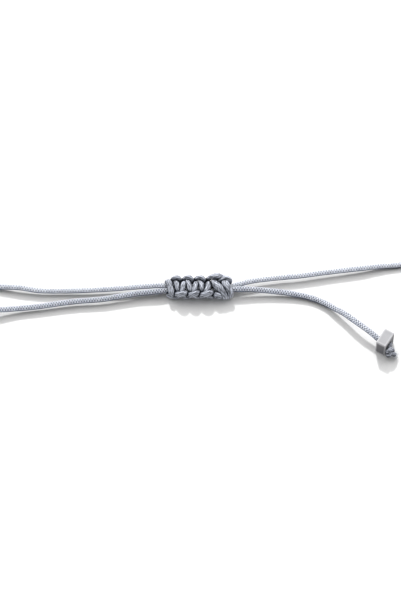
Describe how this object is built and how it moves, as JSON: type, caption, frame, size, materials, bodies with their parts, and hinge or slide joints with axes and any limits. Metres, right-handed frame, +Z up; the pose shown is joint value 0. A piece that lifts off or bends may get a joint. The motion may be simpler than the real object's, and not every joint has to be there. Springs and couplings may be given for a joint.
{
  "type": "macrame bracelet",
  "caption": "Macrame bracelet: a loop of braided cord closed by a sliding square-knot sinnet, with short tails that end in square silver beads.",
  "frame": {"origin": "centre of the loop and its knot seen from above, on the surface that they lie on", "axes": "+X along the sliding knot, the loop's long way; +Y from the knot across the loop to its back; +Z up, away from the surface"},
  "size_m": [0.0898, 0.0859, 0.0032],
  "materials": {
    "cord": "tightly braided nylon cord, light blue-grey, slight sheen",
    "knotting_cord": "braided nylon cord pulled tight, blue-grey, with its fibres showing",
    "silver": "satin polished silver with bevelled edges"
  },
  "bodies": {
    "root": {"band_cord": "cord", "sliding_knot": "knotting_cord", "left_tail_cord": "cord", "right_tail_cord": "cord", "left_bead": "silver", "right_bead": "silver", "left_end_knot": "cord", "right_end_knot": "cord"}
  },
  "joints": []
}
